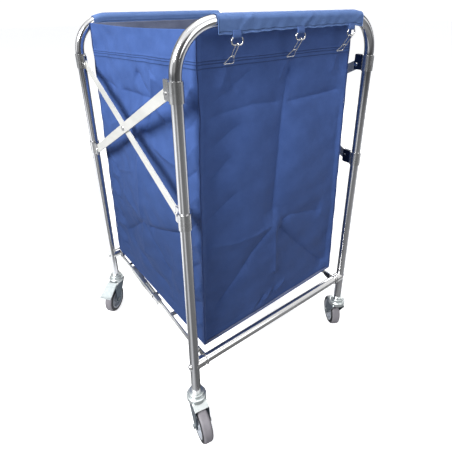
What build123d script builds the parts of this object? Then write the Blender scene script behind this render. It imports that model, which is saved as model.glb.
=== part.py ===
"""Folding X-frame laundry cart with a hanging fabric bag, in millimetres, +Z up.

X is the folding direction: arch A stands at +X and arch B at -X.
Y runs along the arches: the front side is -Y and the rear side is +Y.
The origin is on the floor, midway between the four legs.
"""

import math
import os

from build123d import *

# Frame tubes
TUBE_R = 12.5
TUBE_BORE_R = 11.3
HALF_WIDTH = 300.0  # arch planes stand at X = -300 and +300
HALF_DEPTH = 296.0  # leg axes stand at Y = -296 and +296
TOP_AXIS_Z = 1076.0
TOP_BEND_R = 97.0
LEG_BOTTOM_Z = 143.0

# Lower bars and their end fittings
LOWER_BAR_Z = 234.0
LOWER_BAR_END = 280.0
FITTING_R = 14.3
FITTING_START = 269.0
PLUG_START = 258.0
BOLT_R = 4.0
BOLT_HEAD_R = 8.0
BOLT_HEAD_T = 4.5

# Scissor bars and their brackets
PIVOT_INSET = 35.0  # from a leg's axis to the pivot on its bracket
UPPER_PIVOT_Z = 946.0
LOWER_PIVOT_Z = 675.0
BAR_WIDTH = 25.0
BAR_T = 3.0
BAR_SPACER_T = 1.6
PIN_R = 3.0
PIN_HEAD_R = 5.5
PIN_HEAD_T = 2.2
PIN_PLAY = 0.08  # radial clearance of every hinge pin
MID_PIN_R = 4.0
MID_HEAD_R = 7.0
SLEEVE_R = 15.0
SLIDING_BORE_R = 12.8
FIXED_BORE_R = 12.52
FIXED_SLEEVE_Z = (933.0, 975.0)
SLIDING_SLEEVE_Z = (654.0, 694.0)
EAR_T = 2.0
EAR_PLAY = 0.4
EAR_REACH = 41.0

# Folding floor links and the cross tubes between them
LINK_Z = 237.0
LINK_H = 15.0
LINK_SPAN = {"a": (263.5, 267.5), "b": (268.5, 272.5)}  # inner and outer Y of each arm
LINK_EAR = {"a": (259.3, 262.7), "b": (264.3, 267.7)}
LINK_RING_R = 15.5
CHANNEL_SPAN = (260.5, 274.5)
CHANNEL_T = 2.0
CHANNEL_H = 20.0
CHANNEL_FROM = -167.0
CHANNEL_TO = 43.0
WEB_TO = -60.0
STOP_FROM = 12.0
STOP_PLAY = 0.7
CROSS_TUBE_R = 6.0
CROSS_TUBE_X = 110.0
MID_TUBE_R = 5.0
THIN_ROD_R = 4.0
THIN_ROD_X = -198.0

# Casters
WHEEL_R = 49.0
TREAD_W = 30.0
TREAD_FILLET = 8.0
HUB_R = 36.0
HUB_W = 33.0
TRAIL = 33.0  # from the swivel axis to the axle
AXLE_R = 4.0
FORK_GAP = 36.0
FORK_T = 2.5
CROWN_R = 27.0
CROWN_Z = (115.0, 128.0)
RACE_R = 21.0
RACE_TOP_Z = 138.0
KINGPIN_R = 6.0
KINGPIN_HEAD_R = 10.0
FLANGE_R = 17.5
STEM_R = 11.2
STEM_TOP_Z = 185.0
CHEEK_TOP_W = 46.0
ROOF_Z = (113.5, 116.0)
ROOF_BEND = 22.0
ROOF_TIP = (38.0, 106.5)
PEDAL_TOP_W = 38.0
PEDAL_TIP_W = 44.0
PEDAL_T = 2.5
PEDAL_PIVOT = (40.0, 106.0)  # along the trail, and height
PEDAL_START = (30.5, 121.0)
PEDAL_BEND = (84.0, 98.0)
PEDAL_TIP = (92.0, 97.0)
PEDAL_PIN_R = 2.5
PEDAL_KNUCKLE_R = 4.5
PEDAL_NECK_W = 32.0
CASTER_ANGLES = {  # direction in which each wheel trails, in degrees from +X
    "a_front": 350.0,
    "a_rear": 148.0,
    "b_front": 310.0,
    "b_rear": 135.0,
}
BRAKED = ("b_front", "b_rear")

# Bag
BAG_HALF_X = 284.7
BAG_HALF_Y = 245.0
BAG_BOTTOM_Z = 254.0
BAG_TOP_Z = 1060.0
CLOTH_T = 4.0
SEAM_PLAY = 0.4
FLAP_BORE_R = 12.7
FLAP_T = 2.6
FLAP_SPAN = {"a": (-206.0, 232.0), "b": (-243.0, 218.0)}
FLAP_HEM_Z = {"a": 1050.0, "b": 1060.0}  # lower edge of the flap's outer side
FLAP_INNER_Z = 1036.0

# Hook sets: a webbing tab on the flap, an oval ring, a snap hook and a D-ring on the bag
HOOK_SPACING = 176.0
HOOK_CENTRE_Y = 12.0
TAB_SIZE = (1.8, 21.0, 11.0)
RING_HALF_W = 14.0
RING_HALF_H = 7.5
RING_WIRE_R = 1.5
RING_Z = 1038.5
TAB_BOTTOM_Z = RING_Z + RING_HALF_H + RING_WIRE_R + 0.3
RING_OUT = HALF_WIDTH + FLAP_BORE_R + FLAP_T + TAB_SIZE[0] / 2
HOOK_WIRE_R = 1.1
HOOK_HALF_W = 4.0
HOOK_TO = (300.6, 1009.0)  # where the hook carries the D-ring, out along X and height
D_RING_BASE = (286.6, 992.5)
D_RING_TOP_W = 8.0
D_RING_BASE_W = 26.0

ARCHES = {"a": 1, "b": -1}
SIDES = {"front": -1, "rear": 1}

os.makedirs("parts", exist_ok=True)


def save(builder, name):
    """Labels a finished piece and writes its STEP file."""
    builder.part.label = name
    export_step(builder.part, f"parts/{name}.step")


def save_group(parts, name):
    """Writes separate solids that share one node."""
    group = Compound(children=[solid for part in parts for solid in part.solids()])
    group.label = name
    export_step(group, f"parts/{name}.step")


def across(y, base=Plane.XY):
    """An upright plane square to the base's Y, facing -Y: its X is the base's X and its Y is up."""
    return Plane(origin=base.from_local_coords((0, y, 0)), x_dir=base.x_dir, z_dir=-base.y_dir)


def slab(y_from, y_to, base=Plane.XY):
    """The plane and the distance that make a plate between two values of the base's Y."""
    return across(max(y_from, y_to), base), abs(y_to - y_from)


def arch_tube(name, x):
    with BuildPart() as tube:
        with BuildLine():
            FilletPolyline(
                (x, -HALF_DEPTH, LEG_BOTTOM_Z),
                (x, -HALF_DEPTH, TOP_AXIS_Z),
                (x, HALF_DEPTH, TOP_AXIS_Z),
                (x, HALF_DEPTH, LEG_BOTTOM_Z),
                radius=TOP_BEND_R,
            )
        with BuildSketch(Plane(origin=(x, -HALF_DEPTH, LEG_BOTTOM_Z))):
            Circle(TUBE_R)
            Circle(TUBE_BORE_R, mode=Mode.SUBTRACT)
        sweep()
        for side in SIDES.values():
            with Locations(across(side * HALF_DEPTH).location):
                with Locations((x, LOWER_BAR_Z, 0)):
                    Cylinder(BOLT_R + 0.1, 4 * TUBE_R, mode=Mode.SUBTRACT)
    save(tube, name)


def lower_bar(name, x):
    """The bar, and at each end a fitting: a ring round the bar, a plug in it and a saddle on the leg."""
    with BuildPart() as bar:
        with BuildSketch(across(LOWER_BAR_END)):
            with Locations((x, LOWER_BAR_Z)):
                Circle(TUBE_R)
                Circle(TUBE_BORE_R, mode=Mode.SUBTRACT)
        extrude(amount=2 * LOWER_BAR_END)
    with BuildPart() as fittings:
        for side in SIDES.values():
            for start, end, outer, inner in (
                (FITTING_START, LOWER_BAR_END, FITTING_R, TUBE_R),
                (PLUG_START, LOWER_BAR_END, TUBE_BORE_R, BOLT_R),
                (LOWER_BAR_END, HALF_DEPTH, FITTING_R, BOLT_R),
            ):
                plane, depth = slab(side * start, side * end)
                with BuildSketch(plane):
                    with Locations((x, LOWER_BAR_Z)):
                        Circle(outer)
                        Circle(inner, mode=Mode.SUBTRACT)
                extrude(amount=depth)
            with Locations((x, side * HALF_DEPTH, LOWER_BAR_Z)):
                Cylinder(TUBE_R, 4 * TUBE_R, mode=Mode.SUBTRACT)
    save_group([bar.part] + list(fittings.part.solids()), name)


def bar_bolts(name, x):
    """Dome-head bolts that pass through each leg into the lower bar's plug."""
    with BuildPart() as bolts:
        for side in SIDES.values():
            face = HALF_DEPTH + TUBE_R - 0.3
            plane, depth = slab(side * PLUG_START, side * face)
            with BuildSketch(plane):
                with Locations((x, LOWER_BAR_Z)):
                    Circle(BOLT_R)
            extrude(amount=depth)
            head = Plane(origin=(x, side * face, LOWER_BAR_Z), z_dir=(0, side, 0))
            with BuildSketch(head):
                Circle(BOLT_HEAD_R)
            extrude(amount=BOLT_HEAD_T)
            rim = bolts.edges().filter_by(GeomType.CIRCLE).sort_by(Axis.Y)
            fillet(rim[-1] if side > 0 else rim[0], BOLT_HEAD_T - 0.5)
            with Locations((x, side * HALF_DEPTH, LOWER_BAR_Z)):
                Cylinder(TUBE_R, 4 * TUBE_R, mode=Mode.SUBTRACT)
            with BuildSketch(plane):
                with Locations((x, LOWER_BAR_Z)):
                    Circle(BOLT_R)
            extrude(amount=depth)
    save(bolts, name)


def bar_span(side, falling):
    """Inner and outer Y of a scissor bar: the rising bar is the outer one."""
    inner = HALF_DEPTH + BAR_SPACER_T / 2
    outer = inner + BAR_T
    if falling:
        inner, outer = 2 * HALF_DEPTH - outer, 2 * HALF_DEPTH - inner
    return side * inner, side * outer


def add_bracket(x, side, falling, pivot_z, sleeve_z, bore_r):
    """Adds a leg sleeve with two ears for a scissor bar to the part being built."""
    inward = -1 if x > 0 else 1
    bottom, top = sleeve_z
    with BuildSketch(Plane.XY.offset(bottom)) as sleeve:
        with Locations((x, side * HALF_DEPTH)):
            Circle(SLEEVE_R)
    extrude(sleeve.sketch, amount=top - bottom)
    inner, outer = bar_span(side, falling)
    for start in (inner - side * (EAR_PLAY + EAR_T), outer + side * EAR_PLAY):
        plane, depth = slab(start, start + side * EAR_T)
        reach_mid = x + inward * (EAR_REACH + TUBE_R) / 2
        with BuildSketch(plane) as ear:
            with Locations((reach_mid, (bottom + top) / 2)):
                RectangleRounded(EAR_REACH - TUBE_R, top - bottom, 4)
            with Locations((x + inward * (TUBE_R + 4), (bottom + top) / 2)):
                Rectangle(8, top - bottom)
            with Locations((x + inward * PIVOT_INSET, pivot_z)):
                Circle(PIN_R, mode=Mode.SUBTRACT)
        extrude(ear.sketch, amount=depth)
    with Locations((x, side * HALF_DEPTH, (bottom + top) / 2)):
        Cylinder(bore_r, top - bottom + 2, mode=Mode.SUBTRACT)


def add_pin(x, z, y_in, y_out, radius, head_r):
    """Adds a rivet along Y with a low domed head at each end to the part being built."""
    plane, depth = slab(y_in, y_out)
    with BuildSketch(plane) as shank:
        with Locations((x, z)):
            Circle(radius)
    extrude(shank.sketch, amount=depth)
    for y in (y_in, y_out):
        away = math.copysign(1, y - (y_in + y_out) / 2)
        with BuildSketch(Plane(origin=(x, y, z), z_dir=(0, away, 0))) as head:
            Circle(head_r)
        extrude(head.sketch, amount=PIN_HEAD_T, taper=30)


def bracket_pin_ends(side, falling):
    inner, outer = bar_span(side, falling)
    return inner - side * (EAR_PLAY + EAR_T), outer + side * (EAR_PLAY + EAR_T)


def is_falling(arch, upper):
    """The falling bar runs from arch B's upper bracket to arch A's lower one."""
    return (arch == "b") == upper


def fixed_brackets(name, arch, x):
    with BuildPart() as brackets:
        for side in SIDES.values():
            add_bracket(
                x, side, is_falling(arch, True), UPPER_PIVOT_Z, FIXED_SLEEVE_Z, FIXED_BORE_R
            )
    save(brackets, name)


def fixed_rivets(name, arch, x, pivot_x):
    with BuildPart() as rivets:
        for side in SIDES.values():
            y_in, y_out = bracket_pin_ends(side, is_falling(arch, True))
            add_pin(pivot_x, UPPER_PIVOT_Z, y_in, y_out, PIN_R, PIN_HEAD_R)
    save(rivets, name)


def sliding_bracket(name, arch, x, pivot_x, side):
    """The sleeve that slides on a leg, and the rivet that its bar turns on as a second solid."""
    falling = is_falling(arch, False)
    with BuildPart() as bracket:
        add_bracket(x, side, falling, LOWER_PIVOT_Z, SLIDING_SLEEVE_Z, SLIDING_BORE_R)
    with BuildPart() as rivet:
        y_in, y_out = bracket_pin_ends(side, falling)
        add_pin(pivot_x, LOWER_PIVOT_Z, y_in, y_out, PIN_R, PIN_HEAD_R)
    save_group([bracket.part, rivet.part], name)


def scissor_bar(name, side, falling):
    pivot_x = HALF_WIDTH - PIVOT_INSET
    rise = (UPPER_PIVOT_Z - LOWER_PIVOT_Z) * (-1 if falling else 1)
    length = math.hypot(2 * pivot_x, rise)
    tilt = math.degrees(math.atan2(rise, 2 * pivot_x))
    plane, depth = slab(*bar_span(side, falling))
    with BuildPart() as bar:
        with BuildSketch(plane):
            with Locations(Location((0, (UPPER_PIVOT_Z + LOWER_PIVOT_Z) / 2, 0), tilt)):
                SlotCenterToCenter(length, BAR_WIDTH)
                with Locations((-length / 2, 0), (length / 2, 0)):
                    Circle(PIN_R + PIN_PLAY, mode=Mode.SUBTRACT)
                Circle(MID_PIN_R + (0 if falling else PIN_PLAY), mode=Mode.SUBTRACT)
        extrude(amount=depth)
    save(bar, name)


def mid_rivet(name, side):
    """The scissor's middle rivet, with the spacer washer between the two bars."""
    mid_z = (UPPER_PIVOT_Z + LOWER_PIVOT_Z) / 2
    inner, _ = bar_span(side, True)
    _, outer = bar_span(side, False)
    with BuildPart() as rivet:
        add_pin(0, mid_z, inner, outer + side * 0.2, MID_PIN_R, MID_HEAD_R)
        plane, depth = slab(
            side * (HALF_DEPTH - BAR_SPACER_T / 2),
            side * (HALF_DEPTH + BAR_SPACER_T / 2 - 0.1),
        )
        with BuildSketch(plane):
            with Locations((0, mid_z)):
                Circle(9)
        extrude(amount=depth)
    save(rivet, name)


def add_plate(span, side, draw, base=Plane.XY):
    """Adds a plate that fills a span of Y on one side, with the outline that draw makes."""
    plane, depth = slab(side * span[0], side * span[1], base)
    with BuildSketch(plane) as outline:
        draw()
    extrude(outline.sketch, amount=depth)


def draw_circle(x, z, radius):
    def draw():
        with Locations((x, z)):
            Circle(radius)

    return draw


def draw_strip(x_from, x_to, height, hole_r):
    """A strip with round ends and a hole at each end."""

    def draw():
        with Locations(((x_from + x_to) / 2, LINK_Z)):
            SlotCenterToCenter(x_to - x_from, height)
        with Locations((x_from, LINK_Z), (x_to, LINK_Z)):
            Circle(hole_r, mode=Mode.SUBTRACT)

    return draw


def draw_block(x_from, x_to, z_from, z_to):
    def draw():
        with Locations(((x_from + x_to) / 2, (z_from + z_to) / 2)):
            Rectangle(x_to - x_from, z_to - z_from)

    return draw


def draw_link_ear(x, pivot_x):
    """A ring round the lower bar with an ear that reaches in to the pivot."""

    def draw():
        with Locations((x, LOWER_BAR_Z)):
            Circle(LINK_RING_R)
        with Locations((pivot_x, LINK_Z)):
            Circle(LINK_H / 2)
        make_hull()
        with Locations((x, LOWER_BAR_Z)):
            Circle(TUBE_R, mode=Mode.SUBTRACT)
        with Locations((pivot_x, LINK_Z)):
            Circle(PIN_R, mode=Mode.SUBTRACT)

    return draw


def link_brackets(name, arch, x, pivot_x):
    """The two brackets on a lower bar, and the pin that each link arm turns on."""
    pieces = []
    for side in SIDES.values():
        with BuildPart() as bracket:
            add_plate(LINK_EAR[arch], side, draw_link_ear(x, pivot_x))
        with BuildPart() as pin:
            start = LINK_EAR[arch][0]
            end = LINK_SPAN[arch][1] + EAR_PLAY
            add_plate((start, end), side, draw_circle(pivot_x, LINK_Z, PIN_R))
            for span in ((start - 1.6, start), (end, end + 1.6)):
                add_plate(span, side, draw_circle(pivot_x, LINK_Z, PIN_HEAD_R))
        pieces += [bracket.part, pin.part]
    save_group(pieces, name)


def link_arms(name, arch, pivot_x):
    with BuildPart() as arms:
        for side in SIDES.values():
            ends = sorted((pivot_x, 0.0))
            add_plate(LINK_SPAN[arch], side, draw_strip(*ends, LINK_H, PIN_R + PIN_PLAY))
    save(arms, name)


def link_channels(name):
    """Two side plates joined by a web on top, with a stop lip over the other arm's first stretch."""
    inner, outer = CHANNEL_SPAN
    top = LINK_Z + CHANNEL_H / 2
    stop_z = LINK_Z + LINK_H / 2 + STOP_PLAY
    with BuildPart() as channels:
        for side in SIDES.values():
            wall = draw_block(CHANNEL_FROM, CHANNEL_TO, top - CHANNEL_H, top)
            for span in ((inner, inner + CHANNEL_T), (outer - CHANNEL_T, outer)):
                add_plate(span, side, wall)
            for x_from, x_to in ((CHANNEL_FROM, WEB_TO), (STOP_FROM, CHANNEL_TO)):
                add_plate((inner, outer), side, draw_block(x_from, x_to, stop_z, top))
            with Locations((0, side * (outer - CHANNEL_T / 2), LINK_Z)):
                Cylinder(PIN_R, 3 * CHANNEL_T, rotation=(90, 0, 0), mode=Mode.SUBTRACT)
    save(channels, name)


def link_mid_rivets(name):
    """The rivets of the middle hinge, set in each channel's outer wall and the fixed arm's end."""
    start = LINK_SPAN["b"][0]
    end = CHANNEL_SPAN[1]
    with BuildPart() as rivets:
        for side in SIDES.values():
            add_plate((start, end), side, draw_circle(0, LINK_Z, PIN_R))
            add_plate((end, end + 2.4), side, draw_circle(0, LINK_Z, PIN_HEAD_R + 1))
    save(rivets, name)


def cross_tube(name, x, radius, half_length):
    with BuildPart() as tube:
        with BuildSketch(across(half_length)):
            with Locations((x, LINK_Z)):
                Circle(radius)
        extrude(amount=2 * half_length)
    save(tube, name)


def caster_stems(name, x):
    """A plug in each leg with a flange below it, and the kingpin that carries the fork."""
    crown_bottom = CROWN_Z[0]
    flange_z = RACE_TOP_Z + EAR_PLAY
    with BuildPart() as stems:
        for side in SIDES.values():
            for start, end, radius in (
                (LEG_BOTTOM_Z, STEM_TOP_Z, STEM_R),
                (flange_z, LEG_BOTTOM_Z, FLANGE_R),
                (crown_bottom - EAR_PLAY, flange_z, KINGPIN_R),
                (crown_bottom - EAR_PLAY - 3.5, crown_bottom - EAR_PLAY, KINGPIN_HEAD_R),
            ):
                with BuildSketch(Plane.XY.offset(start)):
                    with Locations((x, side * HALF_DEPTH)):
                        Circle(radius)
                extrude(amount=end - start)
    save(stems, name)


def draw_fork_cheek(braked):
    def draw():
        with Locations((0, ROOF_Z[0])):
            Rectangle(CHEEK_TOP_W, 2 * (ROOF_Z[1] - ROOF_Z[0]))
        with Locations((TRAIL, WHEEL_R)):
            Circle(11.5)
        if braked:
            with Locations(PEDAL_PIVOT):
                Circle(5.5)
        else:
            with Locations(ROOF_TIP):
                Circle(1.5)
        make_hull()
        with Locations((TRAIL, WHEEL_R)):
            Circle(AXLE_R, mode=Mode.SUBTRACT)
        if braked:
            with Locations(PEDAL_PIVOT):
                Circle(PEDAL_PIN_R, mode=Mode.SUBTRACT)

    return draw


def caster_fork(name, base, braked):
    """The fork's crown, bearing race and two cheeks, with the axle bolt and any pedal pin."""
    half_gap = FORK_GAP / 2
    with BuildPart() as fork:
        with BuildSketch(base.offset(CROWN_Z[0])):
            Circle(CROWN_R)
        extrude(amount=CROWN_Z[1] - CROWN_Z[0])
        fillet(fork.edges().group_by(Axis.Z)[-1], 4)
        with BuildSketch(base.offset(CROWN_Z[1])):
            Circle(RACE_R)
        extrude(amount=RACE_TOP_Z - CROWN_Z[1])
        fillet(fork.edges().group_by(Axis.Z)[-1], 2)
        for side in SIDES.values():
            add_plate((half_gap, half_gap + FORK_T), side, draw_fork_cheek(braked), base)
        reach = half_gap + FORK_T
        if not braked:
            plane, depth = slab(-reach, reach, base)
            with BuildSketch(plane):
                with BuildLine():
                    Polyline((0, ROOF_Z[1]), (ROOF_BEND, ROOF_Z[1]), ROOF_TIP)
                    offset(amount=FORK_T, side=Side.RIGHT)
                make_face()
            extrude(amount=depth)
            with BuildSketch(base.offset(ROOF_Z[0] - 4)):
                Circle(KINGPIN_HEAD_R + 2)
            extrude(amount=CROWN_Z[0] - ROOF_Z[0] + 4, mode=Mode.SUBTRACT)
        with BuildSketch(base.offset(CROWN_Z[0])):
            Circle(KINGPIN_R + PIN_PLAY)
        extrude(amount=RACE_TOP_Z - CROWN_Z[0], mode=Mode.SUBTRACT)
    pieces = [fork.part]
    bolts = [((TRAIL, WHEEL_R), AXLE_R, 7.0, 5.0)]
    if braked:
        bolts.append((PEDAL_PIVOT, PEDAL_PIN_R, 4.0, 1.5))
    for (along, height), radius, head_r, head_t in bolts:
        with BuildPart() as bolt:
            shank = draw_circle(along, height, radius)
            add_plate((-reach, reach), 1, shank, base)
            for side in SIDES.values():
                plane, depth = slab(side * reach, side * (reach + head_t), base)
                with BuildSketch(plane):
                    with Locations((along, height)):
                        RegularPolygon(head_r, 6)
                extrude(amount=depth)
        pieces.append(bolt.part)
    save_group(pieces, name)


def caster_wheel(tread_name, hub_name, base):
    """The tread and the hub, both turned about the axle."""
    axle = base.from_local_coords((TRAIL, 0, WHEEL_R))
    turning = Plane(origin=axle, x_dir=base.y_dir, z_dir=base.x_dir)
    half_tread = TREAD_W / 2
    half_hub = HUB_W / 2
    with BuildPart() as tread:
        with BuildSketch(turning) as section:
            with Locations((0, (WHEEL_R + HUB_R) / 2)):
                Rectangle(TREAD_W, WHEEL_R - HUB_R)
            fillet(section.vertices().group_by(Axis.Y)[-1], TREAD_FILLET)
        revolve(axis=Axis(axle, base.y_dir))
    save(tread, tread_name)
    with BuildPart() as hub:
        with BuildSketch(turning):
            with Locations((0, HUB_R - 3)):
                Rectangle(2 * half_tread - 1, 6)
            with Locations((0, HUB_R / 2)):
                Rectangle(8, HUB_R)
            with Locations((0, 7)):
                Rectangle(2 * half_hub, 14)
            with Locations((0, (AXLE_R + PIN_PLAY) / 2)):
                Rectangle(3 * half_hub, AXLE_R + PIN_PLAY, mode=Mode.SUBTRACT)
        revolve(axis=Axis(axle, base.y_dir))
    save(hub, hub_name)


def brake_pedal(name, base):
    """A foot plate that widens towards its lip, joined to a knuckle on the pin."""
    along, height = PEDAL_PIVOT
    run = PEDAL_BEND[0] - PEDAL_START[0]
    fall = PEDAL_BEND[1] - PEDAL_START[1]
    length = math.hypot(run, fall)
    up = (-fall / length, run / length)
    joint = (along + 10.5 * up[0], height + 10.5 * up[1])
    with BuildPart() as pedal:
        plane, depth = slab(-PEDAL_TIP_W / 2, PEDAL_TIP_W / 2, base)
        with BuildSketch(plane):
            with BuildLine():
                Polyline(PEDAL_START, PEDAL_BEND, PEDAL_TIP)
                offset(amount=PEDAL_T, side=Side.RIGHT)
            make_face()
        extrude(amount=depth)
        with BuildSketch(base.offset(PEDAL_TIP[1] - 10)):
            corners = []
            for end, width in ((PEDAL_START[0] - 2, PEDAL_TOP_W), (PEDAL_TIP[0] + 1, PEDAL_TIP_W)):
                corners.append((end, -width / 2))
                corners.insert(0, (end, width / 2))
            Polygon(*corners, align=None)
        extrude(amount=PEDAL_START[1] - PEDAL_TIP[1] + 20, mode=Mode.INTERSECT)
        plane, depth = slab(-PEDAL_NECK_W / 2, PEDAL_NECK_W / 2, base)
        with BuildSketch(plane):
            with Locations(PEDAL_PIVOT):
                Circle(PEDAL_KNUCKLE_R)
            with Locations(joint):
                Circle(1.2)
            make_hull()
        extrude(amount=depth)
        with BuildSketch(plane):
            with Locations(PEDAL_PIVOT):
                Circle(PEDAL_PIN_R + PIN_PLAY)
        extrude(amount=depth, mode=Mode.SUBTRACT)
    save(pedal, name)


def cloth_panel(name, x_span, y_span, z_span):
    spans = (x_span, y_span, z_span)
    middle = [(low + high) / 2 for low, high in spans]
    with BuildPart() as panel:
        with Locations(tuple(middle)):
            Box(*[high - low for low, high in spans])
    save(panel, name)


def bag_flap(name, arch, x):
    """The cloth turned over a top bar, with its outer hem hanging below the bar."""
    sign = ARCHES[arch]
    low, high = FLAP_SPAN[arch]
    outer_r = FLAP_BORE_R + FLAP_T
    mid_r = FLAP_BORE_R + FLAP_T / 2
    with BuildPart() as flap:
        with BuildSketch(across(high)):
            with Locations((x, TOP_AXIS_Z)):
                Circle(outer_r)
                Circle(FLAP_BORE_R, mode=Mode.SUBTRACT)
            with Locations((x, TOP_AXIS_Z - outer_r)):
                Rectangle(3 * outer_r, 2 * outer_r, mode=Mode.SUBTRACT)
            for way, edge_z in ((sign, FLAP_HEM_Z[arch]), (-sign, FLAP_INNER_Z)):
                with Locations((x + way * mid_r, (edge_z + TOP_AXIS_Z) / 2)):
                    Rectangle(FLAP_T, TOP_AXIS_Z - edge_z)
        extrude(amount=high - low)
    save(flap, name)


def hook_rows():
    return [HOOK_CENTRE_Y + step * HOOK_SPACING for step in (-1, 0, 1)]


def webbing_tabs(name, arch):
    sign = ARCHES[arch]
    depth, width, height = TAB_SIZE
    face = HALF_WIDTH + FLAP_BORE_R + FLAP_T
    with BuildPart() as tabs:
        for y in hook_rows():
            with Locations((sign * (face + depth / 2), y, TAB_BOTTOM_Z + height / 2)):
                Box(depth, width, height)
    save(tabs, name)


def wire_loop(plane, corners, corner_r, wire_r):
    """A round wire bent into a closed loop; corners are given across and along the plane."""
    with BuildPart() as loop:
        with BuildLine() as path:
            FilletPolyline(
                *[plane.from_local_coords((across_u, 0, along_w)) for across_u, along_w in corners],
                radius=corner_r,
                close=True,
            )
        with BuildSketch(Plane(path.line @ 0, z_dir=path.line % 0)):
            Circle(wire_r)
        sweep()
    return loop.part


def hook_rings(name, arch):
    """Oval rings that hang in the webbing tabs."""
    pieces = []
    for y in hook_rows():
        place = Plane(origin=(ARCHES[arch] * RING_OUT, y, RING_Z), x_dir=(0, 1, 0), z_dir=(0, 0, 1))
        corners = [
            (RING_HALF_W, -RING_HALF_H),
            (RING_HALF_W, RING_HALF_H),
            (-RING_HALF_W, RING_HALF_H),
            (-RING_HALF_W, -RING_HALF_H),
        ]
        pieces.append(wire_loop(place, corners, RING_HALF_H - 0.2, RING_WIRE_R))
    save_group(pieces, name)


def snap_hooks(name, arch):
    """Long wire hooks round the rings, each carrying a D-ring that is sewn to the bag's wall."""
    sign = ARCHES[arch]
    start = (RING_OUT, RING_Z - RING_HALF_H)
    run = sign * (HOOK_TO[0] - start[0])
    fall = HOOK_TO[1] - start[1]
    length = math.hypot(run, fall)
    rise = (sign * (HOOK_TO[0] - D_RING_BASE[0]), HOOK_TO[1] - D_RING_BASE[1])
    pieces = []
    for y in hook_rows():
        hang = Plane(
            origin=(sign * start[0], y, start[1]), x_dir=(-fall, 0, run), z_dir=(run, 0, fall)
        )
        corners = [
            (HOOK_HALF_W, -HOOK_HALF_W),
            (HOOK_HALF_W, length + HOOK_HALF_W),
            (-HOOK_HALF_W, length + HOOK_HALF_W),
            (-HOOK_HALF_W, -HOOK_HALF_W),
        ]
        pieces.append(wire_loop(hang, corners, HOOK_HALF_W - 0.1, HOOK_WIRE_R))
        stand = Plane(
            origin=(sign * D_RING_BASE[0], y, D_RING_BASE[1]),
            x_dir=(0, 1, 0),
            z_dir=(rise[0], 0, rise[1]),
        )
        corners = [
            (D_RING_BASE_W / 2, 0),
            (D_RING_TOP_W / 2, math.hypot(*rise)),
            (-D_RING_TOP_W / 2, math.hypot(*rise)),
            (-D_RING_BASE_W / 2, 0),
        ]
        pieces.append(wire_loop(stand, corners, 1.8, HOOK_WIRE_R))
    save_group(pieces, name)


for arch, sign in ARCHES.items():
    x = sign * HALF_WIDTH
    pivot_x = sign * (HALF_WIDTH - PIVOT_INSET)
    arch_tube(f"arch_tube_{arch}", x)
    lower_bar(f"lower_bar_{arch}", x)
    bar_bolts(f"lower_bar_bolts_{arch}", x)
    fixed_brackets(f"upper_brackets_{arch}", arch, x)
    fixed_rivets(f"upper_rivets_{arch}", arch, x, pivot_x)
    link_brackets(f"link_brackets_{arch}", arch, x, pivot_x)
    link_arms(f"link_arms_{arch}", arch, pivot_x)
    caster_stems(f"caster_stems_{arch}", x)
    inner = sign * (BAG_HALF_X - CLOTH_T)
    outer = sign * BAG_HALF_X
    cloth_panel(
        f"bag_wall_{arch}",
        tuple(sorted((inner, outer))),
        (-BAG_HALF_Y, BAG_HALF_Y),
        (BAG_BOTTOM_Z, BAG_TOP_Z),
    )
    bag_flap(f"bag_flap_{arch}", arch, x)
    webbing_tabs(f"webbing_tabs_{arch}", arch)
    hook_rings(f"hook_rings_{arch}", arch)
    snap_hooks(f"snap_hooks_{arch}", arch)
    for side_name, side in SIDES.items():
        sliding_bracket(f"sliding_bracket_{arch}_{side_name}", arch, x, pivot_x, side)
        corner = f"{arch}_{side_name}"
        angle = math.radians(CASTER_ANGLES[corner])
        base = Plane(
            origin=(x, side * HALF_DEPTH, 0), x_dir=(math.cos(angle), math.sin(angle), 0)
        )
        caster_fork(f"caster_fork_{corner}", base, corner in BRAKED)
        caster_wheel(f"caster_tread_{corner}", f"caster_hub_{corner}", base)
        if corner in BRAKED:
            brake_pedal(f"brake_pedal_{corner}", base)

for side_name, side in SIDES.items():
    scissor_bar(f"scissor_bar_rising_{side_name}", side, False)
    scissor_bar(f"scissor_bar_falling_{side_name}", side, True)
    mid_rivet(f"scissor_mid_rivet_{side_name}", side)

link_channels("link_channels")
link_mid_rivets("link_mid_rivets")
cross_tube("cross_tube_middle", 0, MID_TUBE_R, CHANNEL_SPAN[0])
cross_tube("cross_tube_b", -CROSS_TUBE_X, CROSS_TUBE_R, CHANNEL_SPAN[0])
cross_tube("cross_tube_a", CROSS_TUBE_X, CROSS_TUBE_R, LINK_SPAN["a"][0])
cross_tube("thin_rod_b", THIN_ROD_X, THIN_ROD_R, LINK_SPAN["b"][0])

inside_x = BAG_HALF_X - CLOTH_T
panel_x = (-inside_x, inside_x - SEAM_PLAY)
inside_y = BAG_HALF_Y - CLOTH_T
for side_name, side in SIDES.items():
    edges = tuple(sorted((side * inside_y, side * BAG_HALF_Y)))
    cloth_panel(f"bag_side_{side_name}", panel_x, edges, (BAG_BOTTOM_Z, BAG_TOP_Z))
cloth_panel(
    "bag_bottom", panel_x, (-inside_y, inside_y), (BAG_BOTTOM_Z, BAG_BOTTOM_Z + CLOTH_T)
)
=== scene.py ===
"""Looks for the folding laundry cart: metal finishes, sewn cloth bag, soft studio light."""
import math

import bpy
import numpy as np
from mathutils import Matrix, Vector


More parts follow.
